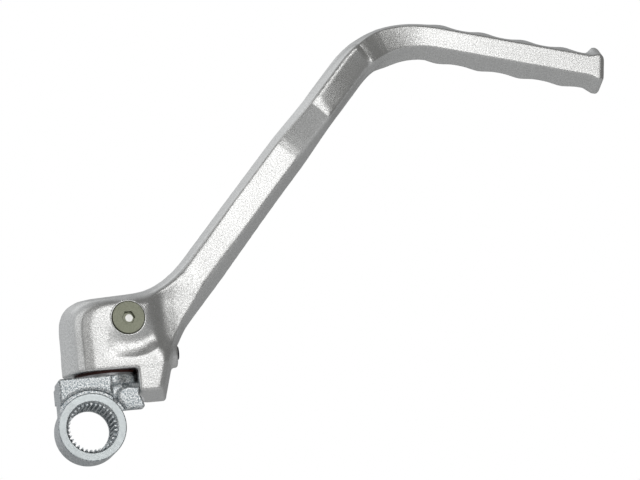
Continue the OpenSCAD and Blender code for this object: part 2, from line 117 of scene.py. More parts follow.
# %% [markdown]
# ## The studio
# Blasted metal shows its shape only through what it reflects. One softbox stands where the flat front
# faces mirror it, just right of and above the camera, so those faces are nearly white. Everything that
# is tilted mirrors the grey room instead. The floor is far below, because the camera looks slightly up,
# and it glows a little for the camera alone, as a lit paper floor would.

# %% Floor, room and softboxes
FLOOR_Z, FLOOR_HALF, FLOOR_GLOW = -0.35, 4.0, 0.35
ROOM_DARK, ROOM_LIGHT = (0.16, 0.16, 0.157, 1), (0.5, 0.51, 0.52, 1)
ROOM_LIGHT_SIDE = (-0.55, 0.45, 0.35)


def plain_material(name, color, roughness):
    material = bpy.data.materials.new(name)
    material.use_nodes = True
    shader = material.node_tree.nodes["Principled BSDF"]
    shader.inputs["Base Color"].default_value = (*color, 1)
    shader.inputs["Roughness"].default_value = roughness
    return material


floor_mesh = bpy.data.meshes.new("floor")
floor_corners = [(x * FLOOR_HALF, y * FLOOR_HALF, FLOOR_Z) for x, y in ((-1, -1), (1, -1), (1, 1), (-1, 1))]
floor_mesh.from_pydata(floor_corners, [], [(0, 1, 2, 3)])
floor = bpy.data.objects.new("floor", floor_mesh)
bpy.context.scene.collection.objects.link(floor)
pale = plain_material("pale_floor", (0.9, 0.9, 0.9), 0.8)
pale_shader = pale.node_tree.nodes["Principled BSDF"]
pale_shader.inputs["Emission Color"].default_value = (1, 1, 1, 1)
eye = pale.node_tree.nodes.new("ShaderNodeLightPath")
glow = pale.node_tree.nodes.new("ShaderNodeMath")
glow.operation = "MULTIPLY"
glow.inputs[1].default_value = FLOOR_GLOW
pale.node_tree.links.new(eye.outputs["Is Camera Ray"], glow.inputs[0])
pale.node_tree.links.new(glow.outputs[0], pale_shader.inputs["Emission Strength"])
floor_mesh.materials.append(pale)

room = bpy.data.worlds.new("room")
room.use_nodes = True
bpy.context.scene.world = room
room_nodes, room_links = room.node_tree.nodes, room.node_tree.links
backdrop = room_nodes["Background"]
backdrop.inputs["Color"].default_value = (1, 1, 1, 1)
walls = room_nodes.new("ShaderNodeBackground")
sky = room_nodes.new("ShaderNodeTexCoord")
lean = room_nodes.new("ShaderNodeVectorMath")
lean.operation = "DOT_PRODUCT"
lean.inputs[1].default_value = ROOM_LIGHT_SIDE
fade = room_nodes.new("ShaderNodeValToRGB")
fade.color_ramp.elements[0].color = ROOM_DARK
fade.color_ramp.elements[1].position = 0.75
fade.color_ramp.elements[1].color = ROOM_LIGHT
room_links.new(sky.outputs["Generated"], lean.inputs[0])
room_links.new(lean.outputs["Value"], fade.inputs["Fac"])
room_links.new(fade.outputs["Color"], walls.inputs["Color"])
seen = room_nodes.new("ShaderNodeLightPath")
choose = room_nodes.new("ShaderNodeMixShader")
room_links.new(seen.outputs["Is Camera Ray"], choose.inputs[0])
room_links.new(walls.outputs[0], choose.inputs[1])
room_links.new(backdrop.outputs[0], choose.inputs[2])
room_links.new(choose.outputs[0], room_nodes["World Output"].inputs["Surface"])
bpy.context.scene.view_settings.view_transform = "Standard"


def softbox(name, azimuth, elevation, distance, size, power):
    """An area light that faces the object from a direction given as the camera's is, in metres and watts."""
    data = bpy.data.lights.new(name, "AREA")
    data.shape = "RECTANGLE"
    data.size, data.size_y = size
    data.energy = power
    box = bpy.data.objects.new(name, data)
    towards = view_axes(math.radians(azimuth), math.radians(elevation), 0)[2]
    box.location = camera_target - towards * distance
    box.rotation_mode = "QUATERNION"
    box.rotation_quaternion = towards.to_track_quat("-Z", "Y")
    bpy.context.scene.collection.objects.link(box)


SOFTBOXES = [
    ("front_softbox", 9.5, 13.5, 1.6, (0.82, 0.68), 2.4),
    ("corner_softbox", 26, 28, 1.5, (0.25, 0.25), 0.27),
    ("bridge_softbox", -22, 12, 1.5, (0.3, 0.6), 0.3),
    ("left_softbox", -62, 20, 1.5, (0.8, 1.0), 1.0),
    ("back_softbox", -150, 48, 1.4, (1.0, 0.8), 0.5),
    ("high_left_softbox", -42, 46, 1.5, (0.9, 0.6), 0.5),
    ("low_fill", 20, -62, 1.4, (0.8, 0.5), 0.75),
]
for softbox_row in SOFTBOXES:
    softbox(*softbox_row)

# %% [markdown]
# ## Shared finishes
# A shader node group is like a small tool of one's own: it is wired once and placed in any material
# with its own values. Two are needed. Grain is the fine pitting that blasting, plating and rubber all
# have at different scales, and smudge is the slow unevenness of brightness that no real finish lacks.

# %% A helper that makes node groups with named sockets


def node_group(name, inputs, outputs):
    tree = bpy.data.node_groups.new(name, "ShaderNodeTree")
    for label, value in inputs:
        socket = tree.interface.new_socket(label, in_out="INPUT", socket_type="NodeSocketFloat")
        socket.default_value = value
    for label in outputs:
        tree.interface.new_socket(label, in_out="OUTPUT", socket_type="NodeSocketFloat")
    return tree, tree.nodes.new("NodeGroupInput"), tree.nodes.new("NodeGroupOutput")


def math_node(tree, operation, a, b=None, clamp=False):
    """A Math node; a and b are numbers or sockets. Returns its output."""
    node = tree.nodes.new("ShaderNodeMath")
    node.operation = operation
    node.use_clamp = clamp
    for socket, value in zip(node.inputs, (a, b)):
        if value is None:
            continue
        if isinstance(value, (int, float)):
            socket.default_value = value
        else:
            tree.links.new(value, socket)
    return node.outputs[0]


def noise(tree, scale, detail, roughness):
    """Noise over Object coordinates; scale is a socket, in features per metre."""
    coords = tree.nodes.new("ShaderNodeTexCoord")
    texture = tree.nodes.new("ShaderNodeTexNoise")
    texture.inputs["Detail"].default_value = detail
    texture.inputs["Roughness"].default_value = roughness
    tree.links.new(coords.outputs["Object"], texture.inputs["Vector"])
    tree.links.new(scale, texture.inputs["Scale"])
    return texture.outputs["Fac"]


# %% Grain: pits and sparkle at a given size
grain, g_in, g_out = node_group("grain", [("Size mm", 0.4), ("Contrast", 2.0)], ["Height", "Sparkle"])
MM_PER_METRE = 1000.0
per_metre = math_node(grain, "DIVIDE", MM_PER_METRE, g_in.outputs["Size mm"])
fine = noise(grain, per_metre, detail=2.0, roughness=0.6)
centred = math_node(grain, "SUBTRACT", fine, 0.5)
stretched = math_node(grain, "MULTIPLY", centred, g_in.outputs["Contrast"])
sparkle = math_node(grain, "ADD", stretched, 0.5, clamp=True)
grain.links.new(sparkle, g_out.inputs["Sparkle"])
grain.links.new(fine, g_out.inputs["Height"])

# %% Smudge: slow unevenness, from handling and the blast nozzle's passes
smudge, s_in, s_out = node_group("smudge", [("Size mm", 18.0), ("Amount", 0.1)], ["Shift"])
smudges_per_metre = math_node(smudge, "DIVIDE", MM_PER_METRE, s_in.outputs["Size mm"])
slow = noise(smudge, smudges_per_metre, detail=3.0, roughness=0.55)
shift = math_node(smudge, "MULTIPLY", math_node(smudge, "SUBTRACT", slow, 0.5), s_in.outputs["Amount"])
smudge.links.new(shift, s_out.inputs["Shift"])
print("groups:", [g.name for g in bpy.data.node_groups])

# %% [markdown]
# ## Materials
# Each metal is one recipe with other numbers: a base colour that the sparkle darkens and lightens, a
# roughness that the smudge shifts, and a bump from the grain. The recipe is a function, and the knuckle
# and the screw then get what is special to them: the machined ring, and a painted highlight in the socket.

# %% The metal recipe


def group_node(tree, group, **values):
    node = tree.nodes.new("ShaderNodeGroup")
    node.node_tree = group
    for label, value in values.items():
        node.inputs[label.replace("_", " ")].default_value = value
    return node


def two_colors(tree, factor, low, high):
    ramp = tree.nodes.new("ShaderNodeMix")
    ramp.data_type = "RGBA"
    tree.links.new(factor, ramp.inputs["Factor"])
    ramp.inputs[6].default_value = (*low, 1)
    ramp.inputs[7].default_value = (*high, 1)
    return ramp.outputs[2]


def metal(name, low, high, roughness, grain_mm, contrast, bump_mm, smudge_mm=18.0, smudge_amount=0.12,
          roughness_sparkle=0.0):
    material = bpy.data.materials.new(name)
    material.use_nodes = True
    tree = material.node_tree
    shader = tree.nodes["Principled BSDF"]
    shader.inputs["Metallic"].default_value = 1.0
    pits = group_node(tree, grain, Size_mm=grain_mm, Contrast=contrast)
    uneven = group_node(tree, smudge, Size_mm=smudge_mm, Amount=smudge_amount)
    tree.links.new(two_colors(tree, pits.outputs["Sparkle"], low, high), shader.inputs["Base Color"])
    rough = math_node(tree, "ADD", uneven.outputs["Shift"], roughness)
    centred_sparkle = math_node(tree, "SUBTRACT", pits.outputs["Sparkle"], 0.5)
    glint = math_node(tree, "MULTIPLY", centred_sparkle, roughness_sparkle)
    tree.links.new(math_node(tree, "SUBTRACT", rough, glint), shader.inputs["Roughness"])
    bump = tree.nodes.new("ShaderNodeBump")
    bump.inputs["Strength"].default_value = 1.0
    bump.inputs["Distance"].default_value = bump_mm * MM
    tree.links.new(pits.outputs["Height"], bump.inputs["Height"])
    tree.links.new(bump.outputs["Normal"], shader.inputs["Normal"])
    return material


blasted = metal("blasted_aluminium", (0.76, 0.76, 0.75), (1.0, 1.0, 0.99), roughness=0.3, grain_mm=0.5,
                contrast=4.2, bump_mm=0.05, roughness_sparkle=0.1)
washer_finish = metal("washer_steel", (0.3, 0.3, 0.31), (0.45, 0.45, 0.46), roughness=0.35, grain_mm=0.3,
                      contrast=2.0, bump_mm=0.01)
ball_finish = metal("ball_steel", (0.68, 0.69, 0.71), (0.76, 0.77, 0.79), roughness=0.12, grain_mm=0.3,
                    contrast=1.5, bump_mm=0.002, smudge_mm=6.0, smudge_amount=0.06)
wire_finish = metal("spring_steel", (0.45, 0.46, 0.48), (0.62, 0.63, 0.65), roughness=0.28, grain_mm=0.2,
                    contrast=2.0, bump_mm=0.004, smudge_mm=4.0, smudge_amount=0.1)
oxide_finish = metal("black_steel", (0.02, 0.02, 0.022), (0.06, 0.06, 0.065), roughness=0.45, grain_mm=0.25,
                     contrast=2.0, bump_mm=0.012, smudge_mm=4.0, smudge_amount=0.1)

# %% [markdown]
# Two pieces need one thing more. The knuckle's ring was faced on a lathe after casting, and the screw's
# socket gets a painted highlight: its floor is painted near white, a little off centre to the lower right,
# in place of the reflections inside it. A third group finds such a place from the object's own coordinates,
# within a radius of an axis and outside two depths, and hands out a mask and the height of the tool's marks.
# The screw's front depth is given as a metre, so its mask takes in the socket's whole depth.

# %% Turned: where a tool has been, and its marks; its mask also places the screw's painted highlight
FACE_SLACK = 0.06 * MM
turned_and_highlight_group, t_in, t_out = node_group("turned", [
    ("Front", -0.00925), ("Back", 0.00925), ("Centre X", 0.0), ("Centre Z", 0.0), ("Radius", 0.0136),
    ("Pitch mm", 0.35)], ["Mask", "Marks"])
spot_coords = turned_and_highlight_group.nodes.new("ShaderNodeTexCoord")
spot_parts = turned_and_highlight_group.nodes.new("ShaderNodeSeparateXYZ")
turned_and_highlight_group.links.new(spot_coords.outputs["Object"], spot_parts.inputs[0])
off_x = math_node(turned_and_highlight_group, "SUBTRACT", spot_parts.outputs["X"], t_in.outputs["Centre X"])
off_z = math_node(turned_and_highlight_group, "SUBTRACT", spot_parts.outputs["Z"], t_in.outputs["Centre Z"])
squares = math_node(turned_and_highlight_group, "ADD", math_node(turned_and_highlight_group, "MULTIPLY", off_x, off_x),
                    math_node(turned_and_highlight_group, "MULTIPLY", off_z, off_z))
from_axis = math_node(turned_and_highlight_group, "SQRT", squares)
before = math_node(turned_and_highlight_group, "LESS_THAN", spot_parts.outputs["Y"],
                   math_node(turned_and_highlight_group, "ADD", t_in.outputs["Front"], FACE_SLACK))
behind = math_node(turned_and_highlight_group, "GREATER_THAN", spot_parts.outputs["Y"],
                   math_node(turned_and_highlight_group, "SUBTRACT", t_in.outputs["Back"], FACE_SLACK))
inside = math_node(turned_and_highlight_group, "LESS_THAN", from_axis, t_in.outputs["Radius"])
faces = math_node(turned_and_highlight_group, "MAXIMUM", before, behind)
turned_and_highlight_group.links.new(math_node(turned_and_highlight_group, "MULTIPLY", faces, inside), t_out.inputs["Mask"])
full_turns = math_node(turned_and_highlight_group, "MULTIPLY", from_axis, 2 * math.pi * MM_PER_METRE)
cycles = math_node(turned_and_highlight_group, "DIVIDE", full_turns, t_in.outputs["Pitch mm"])
turned_and_highlight_group.links.new(math_node(turned_and_highlight_group, "SINE", cycles), t_out.inputs["Marks"])


def turned_face_and_painted_highlight(material, low, high, mark, **place):
    """Where the turned group says so, the rough finish gives way to a brighter one with fine marks: a turned face
    on the knuckle's ring, and a painted highlight on the floor of the screw's socket.
    """
    tree = material.node_tree
    shader = tree.nodes["Principled BSDF"]
    bump = next(node for node in tree.nodes if node.bl_idname == "ShaderNodeBump")
    bright_patch = group_node(tree, turned_and_highlight_group, **place)
    pits = group_node(tree, grain, Size_mm=1.6, Contrast=1.6)
    pick = tree.nodes.new("ShaderNodeMix")
    pick.data_type = "RGBA"
    tree.links.new(bright_patch.outputs["Mask"], pick.inputs["Factor"])
    tree.links.new(shader.inputs["Base Color"].links[0].from_socket, pick.inputs[6])
    tree.links.new(two_colors(tree, pits.outputs["Sparkle"], low, high), pick.inputs[7])
    tree.links.new(pick.outputs[2], shader.inputs["Base Color"])
    height = tree.nodes.new("ShaderNodeMix")
    tree.links.new(bright_patch.outputs["Mask"], height.inputs["Factor"])
    tree.links.new(bump.inputs["Height"].links[0].from_socket, height.inputs[2])
    tree.links.new(math_node(tree, "MULTIPLY", bright_patch.outputs["Marks"], mark), height.inputs[3])
    tree.links.new(height.outputs[0], bump.inputs["Height"])


# %% Zinc-plated casting with turned faces, and the screw with a painted highlight in its socket
ALL_DEPTHS = 1.0
plated = metal("plated_steel", (0.34, 0.39, 0.42), (0.98, 1.0, 1.0), roughness=0.3, grain_mm=0.55,
               contrast=6.5, bump_mm=0.07, smudge_mm=12.0, smudge_amount=0.14)
turned_face_and_painted_highlight(plated, (0.66, 0.71, 0.72), (0.8, 0.85, 0.86), mark=0.03, Front=hub_front, Back=hub_back)
screw_finish = metal("screw_steel", (0.24, 0.25, 0.19), (0.34, 0.35, 0.27), roughness=0.36, grain_mm=0.5,
                     contrast=2.0, bump_mm=0.006, smudge_mm=6.0, smudge_amount=0.1)
# Painted highlight: the socket's floor is painted near white, off centre to the lower right, in place of the
# reflections inside it.
turned_face_and_painted_highlight(screw_finish, (0.9, 0.9, 0.86), (1.0, 1.0, 0.97), mark=0.1, Front=ALL_DEPTHS, Back=ALL_DEPTHS,
        Centre_X=screw_at.x + 0.35 * MM, Centre_Z=screw_at.z - 0.1 * MM, Radius=1.5 * MM)

# %% Rubber of the dust seal
rubber = plain_material("seal_rubber", (0.08, 0.018, 0.013), 0.6)
rubber_tree = rubber.node_tree
rubber_pits = group_node(rubber_tree, grain, Size_mm=0.3, Contrast=2.0)
rubber_shader = rubber_tree.nodes["Principled BSDF"]
rubber_color = two_colors(rubber_tree, rubber_pits.outputs["Sparkle"], (0.05, 0.01, 0.008),
                          (0.11, 0.028, 0.02))
rubber_tree.links.new(rubber_color, rubber_shader.inputs["Base Color"])
rubber_bump = rubber_tree.nodes.new("ShaderNodeBump")
rubber_bump.inputs["Distance"].default_value = 0.03 * MM
rubber_tree.links.new(rubber_pits.outputs["Height"], rubber_bump.inputs["Height"])
rubber_tree.links.new(rubber_bump.outputs["Normal"], rubber_shader.inputs["Normal"])
print("materials:", len(bpy.data.materials))

# %% [markdown]
# ## Turning raw solids into forged and cast skins
# A forging has no sharp edge except where a tool has cut it afterwards. That order is copied here: the
# solid's holes are stopped up, the whole is remeshed into small even squares and smoothed, which rounds
# every edge as the die did, and then the holes are cut again, crisp. Remeshing a copy of the frame's
# own solid keeps the form true to it.

# %% Round plugs and cutters, made like turned parts


def link_mesh(name, mesh):
    piece = bpy.data.objects.new(name, mesh)
    bpy.context.scene.collection.objects.link(piece)
    return piece


def turned(name, profile, at, axis, sides=128):
    """A closed turned solid. profile runs from axis to axis, as (radius, height) in millimetres."""
    bm = bmesh.new()
    rows = []
    for radius, height in profile:
        count = 1 if radius == 0 else sides
        rows.append([bm.verts.new((radius * MM * math.cos(2 * math.pi * i / sides),
                                   radius * MM * math.sin(2 * math.pi * i / sides), height * MM))
                     for i in range(count)])
    for low, high in zip(rows, rows[1:]):
        for i in range(sides):
            after = i + 1
            corners = [low[i % len(low)], low[after % len(low)], high[after % len(high)], high[i % len(high)]]
            distinct = list(dict.fromkeys(corners))
            if len(distinct) > 2:
                bm.faces.new(distinct)
    bmesh.ops.recalc_face_normals(bm, faces=bm.faces)
    mesh = bpy.data.meshes.new(name)
    bm.to_mesh(mesh)
    bm.free()
    mesh.transform(Matrix.Translation(at) @ Vector(axis).to_track_quat("Z", "Y").to_matrix().to_4x4())
    return link_mesh(name, mesh)


def block(name, low, high):
    """A box between two corners in metres, for cutting a plain face."""
    bm = bmesh.new()
    bmesh.ops.create_cube(bm, size=1)
    size = Vector(high) - Vector(low)
    bmesh.ops.scale(bm, vec=size, verts=bm.verts)
    bmesh.ops.translate(bm, vec=(Vector(high) + Vector(low)) / 2, verts=bm.verts)
    mesh = bpy.data.meshes.new(name)
    bm.to_mesh(mesh)
    bm.free()
    return link_mesh(name, mesh)


# %% Evaluating modifiers into plain meshes


def bake_modifiers(piece):
    """Applies every modifier by swapping the mesh for the evaluated one."""
    graph = bpy.context.evaluated_depsgraph_get()
    result = bpy.data.meshes.new_from_object(piece.evaluated_get(graph))
    piece.modifiers.clear()
    piece.data = result
    return piece


def joined(name, sources):
    bm = bmesh.new()
    for source in sources:
        bm.from_mesh(source.data)
    bmesh.ops.remove_doubles(bm, verts=bm.verts, dist=1e-7)
    mesh = bpy.data.meshes.new(name)
    bm.to_mesh(mesh)
    bm.free()
    return link_mesh(name, mesh)


def die_skin(name, sources, voxel_mm, passes, shape=None, soft_passes=0):
    """One rounded skin over all the sources, which may overlap.

    shape moves the raw skin's vertices before the smoothing and returns how much each is softened.
    """
    piece = joined(name, sources)
    remesh = piece.modifiers.new("squares", "REMESH")
    remesh.mode = "VOXEL"
    remesh.voxel_size = voxel_mm * MM
    bake_modifiers(piece)
    if shape:
        soft = piece.vertex_groups.new(name="soft")
        for vertex in piece.data.vertices:
            weight = shape(vertex)
            if weight > 0:
                soft.add([vertex.index], weight, "REPLACE")
        melt = piece.modifiers.new("soften", "SMOOTH")
        melt.factor = 0.5
        melt.iterations = soft_passes
        melt.vertex_group = "soft"
    smooth = piece.modifiers.new("round the edges", "SMOOTH")
    smooth.factor = 0.5
    smooth.iterations = passes
    bake_modifiers(piece)
    print(name, "skin:", len(piece.data.polygons), "faces")
    return piece


def ease(low, high, value):
    share = min(1, max(0, (value - low) / (high - low)))
    return share * share * (3 - 2 * share)


def bell(height, middle, width, value):
    return height * math.exp(-((value - middle) / width) ** 2)


def read_off(table, key):
    """Straight-line reading of a table of (key, value) pairs with rising keys."""
    for (k0, v0), (k1, v1) in zip(table, table[1:]):
        if key <= k1:
            return v0 + (v1 - v0) * max(0, key - k0) / (k1 - k0)
    return table[-1][1]


def cut(piece, cutters):
    for cutter in cutters:
        saw = piece.modifiers.new("cut", "BOOLEAN")
        saw.operation = "DIFFERENCE"
        saw.solver = "EXACT"
        saw.object = cutter
    bake_modifiers(piece)
    for cutter in cutters:
        bpy.data.objects.remove(cutter)
    return piece


def finish_piece(piece, material, body, node, sharp_deg=38):
    """Smooth shading with crisp machined edges, then the material and the frame calls."""
    piece.data.materials.clear()
    piece.data.materials.append(material)
    piece.data.polygons.foreach_set("material_index", [0] * len(piece.data.polygons))
    piece.data.shade_smooth()
    piece.data.set_sharp_from_angle(angle=math.radians(sharp_deg))
    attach(piece, body)
    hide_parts(node)
    print(piece.name, "has", sum(len(p.vertices) - 2 for p in piece.data.polygons), "triangles")


# %% [markdown]
# ## The forged arm
# Its holes are the countersunk seat of the retaining screw, the blind bore for the post with the seat of
# the dust seal at its mouth, and the bore of the detent. Each stopper ends flush with the face that it
# fills, so the smoothed skin runs across it flat. Before the smoothing, the raw skin is moved a little.
# The housing's face runs out to the shank's in a valley beside the screw, and dips in a soft crease above
# the skirt. The dogleg's long slope is twisted by a few degrees, and the drop behind it ends on the tread
# with a long foot. A place on the arm is given along it, from the shank's root, and aside, from its
# middle line to the lower right.

# %% Places on the arm, in millimetres
# Half depths of the housing's face, the shank's, the long slope's end and the tread's.
FRONT_HALF, SHANK_HALF, SLOPE_HALF, TREAD_HALF = 15.0, 9.0, 10.5, 5.0
# The arm's middle line: a straight shank, then the bend. Points are (x, z).
SHANK_ROOT, SHANK_SLOPE = (42.3, 51.2), math.radians(48.1)
BEND_START, BEND_R, BEND_CENTRE = 115.5, 40.5, (149.6, 110.1)
# How far along the arm each form begins and ends.
SHANK_START, HOUSING_END, SHANK_END = 18, 40, 93
SLOPE_START, SLOPE_FADE, SLOPE_END = 94, 123.5, 125.4
DROP_END, FOOT_END, FOOT_HEIGHT = 134.9, 156, 2.3
DROP_ROUND_LOW, DROP_ROUND_HIGH = 2.1, 1.6
# The slope's twist: where it sets in along the arm, its axis and edge aside, its rise and fall per mm.
TWIST_IN = (90.5, 99)
TWIST_AXIS, TWIST_EDGE, TWIST_RISE, TWIST_FALL = -3, 5.4, 0.06, 0.11
# The valley beside the screw: x of its edge for each z, and how it fades in above the skirt.
VALLEY = [(28, 30.8), (33.5, 30.8), (38, 30.6), (43, 30.2), (48, 29.6), (54, 30.5)]
VALLEY_LEAD, VALLEY_WIDTH, VALLEY_IN = 3, 4.7, (26.3, 31.5)
# The crease above the skirt: z of its line and its depth for each x. It fills up again above its
# width, but stays open to the right, where it meets the valley.
CREASE_LINE = [(10, 26.4), (19.5, 25.9), (24, 26.8), (28, 28.7), (32, 30.5)]
CREASE_DEPTH = [(8, 0), (12, 0.6), (16, 0.95), (20, 1.15), (26, 1.5), (32, 1.9), (36, 0.5)]
CREASE_WIDTH, CREASE_FILL, CREASE_OPEN = 6, (5, 14), (23, 31)
# Softening: it fades out along the shank and is weaker on the skirt, whose top is in z.
SOFT_OUT, SKIRT_SOFT, SKIRT_OUT, SKIRT_TOP = (18, 44), 0.25, (23, 29), 22
# Edges as (weight, middle, width), for the crease, the slope's foot and the shank's right side.
CREASE_CRISP, FOOT_SOFT, RIGHT_SOFT = (0.9, 0, 1.1), (0.7, 95, 3), (0.5, 5.1, 0.9)
SLOPE_FOOT, LEFT_SOFT = (93, 97), (-5.2, -4.6)
# Depths from the parting plane between which a vertex comes to belong to the front face.
FACE_DEPTH, PARTING_FADE, EDGE_DEPTH, BOX_MARGIN = (5, 8), (0, 3), 7, 0.03


def arm_place(x, z):
    """How far a point is along the arm from the shank's root, and how far towards the lower right side."""
    reach = x - SHANK_ROOT[0], z - SHANK_ROOT[1]
    along = reach[0] * math.cos(SHANK_SLOPE) + reach[1] * math.sin(SHANK_SLOPE)
    if along < BEND_START:
        return along, reach[0] * math.sin(SHANK_SLOPE) - reach[1] * math.cos(SHANK_SLOPE)
    around = SHANK_SLOPE + math.pi / 2 - math.atan2(z - BEND_CENTRE[1], x - BEND_CENTRE[0])
    return BEND_START + BEND_R * around, BEND_R - math.hypot(x - BEND_CENTRE[0], z - BEND_CENTRE[1])


# %% Forms that the die adds to the arm's skin


def housing_limit(x, z):
    """Half depth of the housing's face, with its valley and its crease."""
    past_edge = max(0, x - read_off(VALLEY, z) + VALLEY_LEAD) / VALLEY_WIDTH
    fall = (1 - 1 / (1 + past_edge ** 2)) * ease(*VALLEY_IN, z)
    above = max(0, z - read_off(CREASE_LINE, x))
    filled = ease(*CREASE_FILL, above) * (1 - ease(*CREASE_OPEN, x))
    dip = (1 - max(0, 1 - above / CREASE_WIDTH) ** 2) * (1 - filled)
    housing = FRONT_HALF - read_off(CREASE_DEPTH, x) * dip
    return housing + (SHANK_HALF - housing) * fall


def tread_run_out(along):
    """What the drop behind the slope, square on the solid, is raised by to give it a long foot."""
    if along > DROP_END:
        return FOOT_HEIGHT * ((FOOT_END - along) / (FOOT_END - DROP_END)) ** 2
    share = (along - SLOPE_END) / (DROP_END - SLOPE_END)
    whole_drop = SLOPE_HALF - TREAD_HALF
    square = SLOPE_HALF - whole_drop * (1 - (1 - share) ** 1.5)
    footed = SLOPE_HALF - (whole_drop - FOOT_HEIGHT) * ease(0, 1, share)
    rounding = share * (1 - share) * (DROP_ROUND_LOW * share - DROP_ROUND_HIGH * (1 - share))
    return footed + rounding - square


def arm_shape(vertex):
    """Moves a vertex of the raw skin in depth, from the parting plane, and says how much it is softened."""
    x, z = vertex.co.x / MM, vertex.co.z / MM
    depth = (pivot.y - vertex.co.y) / MM
    along, aside = arm_place(x, z)
    soft = (1 - ease(*SOFT_OUT, along)) * (SKIRT_SOFT + (1 - SKIRT_SOFT) * ease(*SKIRT_OUT, z))
    if along < HOUSING_END and z > SKIRT_TOP:
        limit = housing_limit(x, z)
        if abs(depth) > limit:
            depth = math.copysign(limit, depth)
        soft *= 1 - bell(*CREASE_CRISP, z - read_off(CREASE_LINE, x))
    elif along < SLOPE_END and depth > FACE_DEPTH[0]:
        face = (1 - ease(SLOPE_FADE, SLOPE_END, along)) * ease(*FACE_DEPTH, depth)
        across = min(1, max(0, (TWIST_EDGE - aside) / (TWIST_EDGE - TWIST_AXIS)))
        lift = TWIST_RISE * max(0, along - SLOPE_START) * across
        fall = TWIST_FALL * ease(*TWIST_IN, along) * max(0, aside - TWIST_AXIS)
        depth = min(depth + face * (lift - fall), FRONT_HALF - BOX_MARGIN)
        left_edge = face * ease(*SLOPE_FOOT, along) * (1 - ease(*LEFT_SOFT, aside))
        soft = max(soft, left_edge, bell(*FOOT_SOFT, along))
    if depth > EDGE_DEPTH and SHANK_START < along < SHANK_END:
        soft = max(soft, bell(*RIGHT_SOFT, aside))
    if SLOPE_END < along < FOOT_END and depth > 0:
        depth += tread_run_out(along) * ease(*PARTING_FADE, depth)
    vertex.co.y = pivot.y - depth * MM
    return soft


# %% Stoppers, skin and machined holes of the arm
SCREW_REACH, SCREW_HOLE_R, SCREW_STOPPER_R = 26, 3.05, 7.1
HEAD_GAP, HEAD_GAP_DEPTH = 0.35, 1.1
front_face = screw_low.y - 0.15 * MM
bore_mouth = disc_top + 1.9 * MM
bore_r, bore_end = 10.04, 27.1
seat_r = (seal_high.x - seal_low.x) / 2 / MM + 0.05
seat_end = (seal_high.z - bore_mouth) / MM + 0.03
boss_face = plug_end - 0.7 * MM
detent_r = 3.05
detent_start = pivot.x + 9 * MM
detent_len = (boss_face - detent_start) / MM
screw_seat = Vector((screw_at.x, front_face, screw_at.z))
mouth = Vector((pivot.x, pivot.y, bore_mouth))
detent = Vector((detent_start, pivot.y, ball.z))

arm_stoppers = [
    turned("screw_stopper", [(0, 0), (SCREW_STOPPER_R, 0), (SCREW_STOPPER_R, SCREW_REACH), (0, SCREW_REACH)],
           screw_seat, (0, 1, 0)),
    turned("bore_stopper", [(0, 0), (seat_r + 0.2, 0), (seat_r + 0.2, 1.6), (bore_r + 0.3, 1.6),
                            (bore_r + 0.3, bore_end + 0.3), (0, bore_end + 0.3)], mouth, (0, 0, 1)),
    turned("detent_stopper", [(0, 0), (detent_r + 0.3, 0), (detent_r + 0.3, detent_len), (0, detent_len)],
           detent, (1, 0, 0)),
]
arm = die_skin("arm_forging", [frame["nodes"]["kick_arm"], *arm_stoppers], voxel_mm=0.55, passes=3,
               shape=arm_shape, soft_passes=20)
for stopper in arm_stoppers:
    bpy.data.objects.remove(stopper)
rim = screw_head_r / MM + HEAD_GAP
cut(arm, [
    turned("screw_cutter", [(0, -3), (rim + 0.3, -3), (rim + 0.3, -0.02), (rim, 0.24), (rim, HEAD_GAP_DEPTH),
                            (rim - 1.0, HEAD_GAP_DEPTH), (SCREW_HOLE_R, rim - 3.0),
                            (SCREW_HOLE_R, SCREW_REACH), (0, SCREW_REACH)], screw_seat, (0, 1, 0)),
    turned("bore_cutter", [(0, -2), (seat_r + 0.3, -2), (seat_r + 0.3, 0), (seat_r, 0.3), (seat_r, seat_end),
                           (bore_r, seat_end), (bore_r, bore_end), (0, bore_end)], mouth, (0, 0, 1)),
    turned("detent_cutter", [(0, 0), (detent_r, 0), (detent_r, detent_len - 0.3),
                             (detent_r + 0.4, detent_len + 0.1), (detent_r + 0.4, detent_len + 4),
                             (0, detent_len + 4)], detent, (1, 0, 0)),
])
finish_piece(arm, blasted, "arm_body", "kick_arm")

# %% [markdown]
# ## The spline's cutter
# The teeth repeat by rule, so Geometry Nodes make them. A circle gets four points for each tooth. The
# index of a point says which tooth it belongs to and whether it lies at a tip or at a root, and Set
# Position puts it there. Extruding the filled outline gives a broach, the tool that cuts such a bore.

# %% Helpers for Geometry Nodes trees


def geometry_tree(name, inputs):
    tree = bpy.data.node_groups.new(name, "GeometryNodeTree")
    tree.interface.new_socket("Geometry", in_out="INPUT", socket_type="NodeSocketGeometry")
    for label, kind, value in inputs:
        socket = tree.interface.new_socket(label, in_out="INPUT", socket_type=kind)
        if value is not None:
            socket.default_value = value
    tree.interface.new_socket("Geometry", in_out="OUTPUT", socket_type="NodeSocketGeometry")
    return tree, tree.nodes.new("NodeGroupInput"), tree.nodes.new("NodeGroupOutput")


def close_tree(tree, geometry, group_in, group_out):
    """Ends a tree as the export needs it: real geometry with its material set."""
    realize = tree.nodes.new("GeometryNodeRealizeInstances")
    dress = tree.nodes.new("GeometryNodeSetMaterial")
    tree.links.new(geometry, realize.inputs["Geometry"])
    tree.links.new(realize.outputs["Geometry"], dress.inputs["Geometry"])
    tree.links.new(group_in.outputs["Material"], dress.inputs["Material"])
    tree.links.new(dress.outputs["Geometry"], group_out.inputs["Geometry"])


def grown(name, tree, **values):
    """An object whose mesh is the tree's result. values are the tree's inputs by name."""
    piece = link_mesh(name, bpy.data.meshes.new(name))
    maker = piece.modifiers.new(tree.name, "NODES")
    maker.node_group = tree
    for socket in tree.interface.items_tree:
        if socket.in_out == "INPUT" and socket.name.replace(" ", "_") in values:
            maker[socket.identifier] = values[socket.name.replace(" ", "_")]
    return bake_modifiers(piece)


